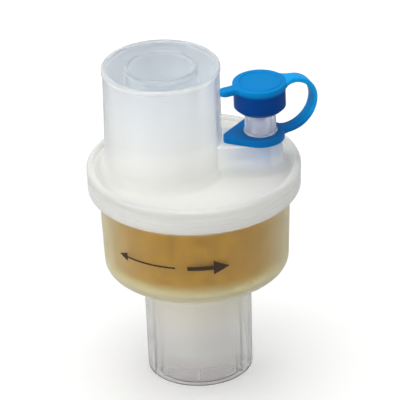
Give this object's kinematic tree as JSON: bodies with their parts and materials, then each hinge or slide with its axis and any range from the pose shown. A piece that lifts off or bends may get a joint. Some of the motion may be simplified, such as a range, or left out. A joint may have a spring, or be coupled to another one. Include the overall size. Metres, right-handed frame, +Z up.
{
  "type": "breathing circuit filter",
  "caption": "Heat and moisture exchanger filter: a welded translucent housing with a patient port below, an off-centre machine port above, and a luer sampling port closed by a tethered cap.",
  "frame": {"origin": "centre of the patient port's mouth, on the main axis, which is the plane that the filter stands on", "axes": "+Z up along the main axis from the patient port to the machine port, +X from the machine port to the luer port, +Y by the right-hand rule"},
  "size_m": [0.0483, 0.0446, 0.0701],
  "materials": {
    "shell": "translucent natural polypropylene, satin",
    "felt": "white electrostatic felt",
    "foam": "ochre open-cell foam",
    "cap": "soft blue polyethylene, satin"
  },
  "bodies": {
    "housing": {"lower_housing": "shell", "upper_housing": "shell", "filter_felt": "felt", "hme_foam": "foam"},
    "tether": {"tether_ring": "cap", "cap_strap": "cap"},
    "cap": {"port_cap": "cap"}
  },
  "joints": [
    {"name": "tether_swivel", "type": "hinge", "parent": "housing", "child": "tether", "pos_m": [0.0141, 0, 0.0534], "axis": [0, 0, 1], "range_deg": [-4, 105]},
    {"name": "cap_pull", "type": "slide", "parent": "tether", "child": "cap", "axis": [0, 0, 1], "range_m": [0, 0.007], "deforming": ["cap_strap"]}
  ]
}
